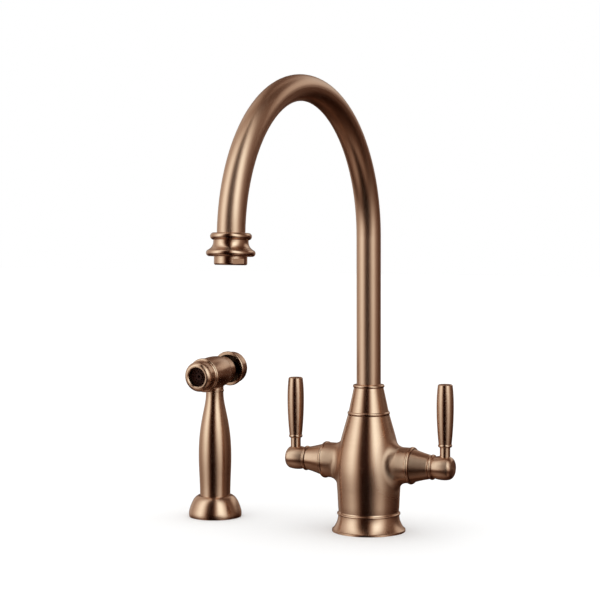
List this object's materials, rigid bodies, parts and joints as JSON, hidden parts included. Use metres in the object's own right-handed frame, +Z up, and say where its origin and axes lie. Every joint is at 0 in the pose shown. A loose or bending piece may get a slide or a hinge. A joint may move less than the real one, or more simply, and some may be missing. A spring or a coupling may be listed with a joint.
{
  "type": "side spray kitchen faucet",
  "caption": "Deck-mounted kitchen faucet with a swivelling gooseneck spout, hot and cold quarter-turn levers, and a lift-out hand spray with a thumb button in its own holder.",
  "frame": {"origin": "centre of the faucet body's shank socket, in the plane of the deck", "axes": "+X along the arms to the cold lever (the user's right), +Y away from the user, +Z up; the spout at rest points to -Y"},
  "size_m": [0.2721, 0.3109, 0.4069],
  "materials": {
    "brushed_copper": "brushed antique copper plating on brass, satin, with fine grain round each turned piece",
    "raw_brass": "machined, unplated, inside only",
    "black_rubber": "smooth moulded seal rubber",
    "white_plastic": "moulded acetal, slightly waxy",
    "dark_plastic": "moulded dark brown plastic with a fine matt texture",
    "ceramic": "lapped alumina, smooth",
    "spring_steel": "drawn stainless steel"
  },
  "bodies": {
    "faucet_body": {"foot_ring": "brushed_copper", "base_gasket": "black_rubber", "valve_body": "brushed_copper", "spout_bonnet": "brushed_copper", "spout_bushes": "white_plastic", "thrust_washer": "white_plastic", "diverter_cage": "white_plastic", "diverter_spring": "spring_steel", "hot_cartridge_body": "raw_brass", "hot_lip_seal": "black_rubber", "hot_fixed_disc": "ceramic", "hot_arm_bonnet": "brushed_copper", "cold_cartridge_body": "raw_brass", "cold_lip_seal": "black_rubber", "cold_fixed_disc": "ceramic", "cold_arm_bonnet": "brushed_copper", "spray_holder": "brushed_copper", "holder_liner": "white_plastic", "holder_gasket": "black_rubber"},
    "diverter": {"diverter_poppet": "black_rubber"},
    "spout": {"spout_tube": "brushed_copper", "spout_shank": "raw_brass", "spout_o_rings": "black_rubber", "outlet_fitting": "brushed_copper", "outlet_washer": "black_rubber", "aerator_housing": "brushed_copper", "aerator_insert": "white_plastic", "aerator_screen": "spring_steel"},
    "hot_lever": {"hot_lever_hub": "brushed_copper", "hot_lever_stem": "brushed_copper", "hot_lever_grip": "brushed_copper", "hot_cartridge_stem": "raw_brass", "hot_moving_disc": "ceramic", "hot_stem_o_ring": "black_rubber", "hot_grub_screw": "spring_steel"},
    "cold_lever": {"cold_lever_hub": "brushed_copper", "cold_lever_stem": "brushed_copper", "cold_lever_grip": "brushed_copper", "cold_cartridge_stem": "raw_brass", "cold_moving_disc": "ceramic", "cold_stem_o_ring": "black_rubber", "cold_grub_screw": "spring_steel"},
    "hose_end": {"hose_connector": "raw_brass", "connector_clip": "spring_steel", "connector_o_ring": "black_rubber"},
    "wand": {"wand_handle": "brushed_copper", "handle_plug": "white_plastic", "water_tube": "raw_brass", "neck_ring": "brushed_copper", "head_barrel": "brushed_copper", "valve_seat": "black_rubber", "nozzle_shell": "brushed_copper", "face_seal": "black_rubber", "spray_face": "dark_plastic", "button_spring": "spring_steel"},
    "spray_button": {"thumb_cup": "brushed_copper", "valve_stem": "raw_brass", "valve_poppet": "black_rubber"}
  },
  "joints": [
    {"name": "diverter_slide", "type": "slide", "parent": "faucet_body", "child": "diverter", "axis": [0, 0, -1], "range_m": [0, 0.003], "stiffness_N_per_m": 100, "springref_m": -0.003, "deforming": ["diverter_spring"]},
    {"name": "spout_swivel", "type": "hinge", "parent": "faucet_body", "child": "spout", "pos_m": [0, 0, 0.12], "axis": [0, 0, 1], "continuous": true},
    {"name": "hot_lever_turn", "type": "hinge", "parent": "faucet_body", "child": "hot_lever", "pos_m": [-0.0754, 0, 0.0628], "axis": [1, 0, 0], "range_deg": [0, 90]},
    {"name": "cold_lever_turn", "type": "hinge", "parent": "faucet_body", "child": "cold_lever", "pos_m": [0.0754, 0, 0.0628], "axis": [1, 0, 0], "range_deg": [0, 90]},
    {"name": "wand_lift", "type": "slide", "parent": "faucet_body", "child": "hose_end", "axis": [0, 0, 1], "range_m": [0, 0.08]},
    {"name": "wand_swivel", "type": "hinge", "parent": "hose_end", "child": "wand", "pos_m": [-0.1632, 0, 0.015], "axis": [0, 0, 1], "continuous": true},
    {"name": "spray_button_press", "type": "slide", "parent": "wand", "child": "spray_button", "axis": [0, -0.9984, -0.0558], "range_m": [0, 0.0045], "stiffness_N_per_m": 800, "springref_m": -0.003, "deforming": ["button_spring"]}
  ]
}
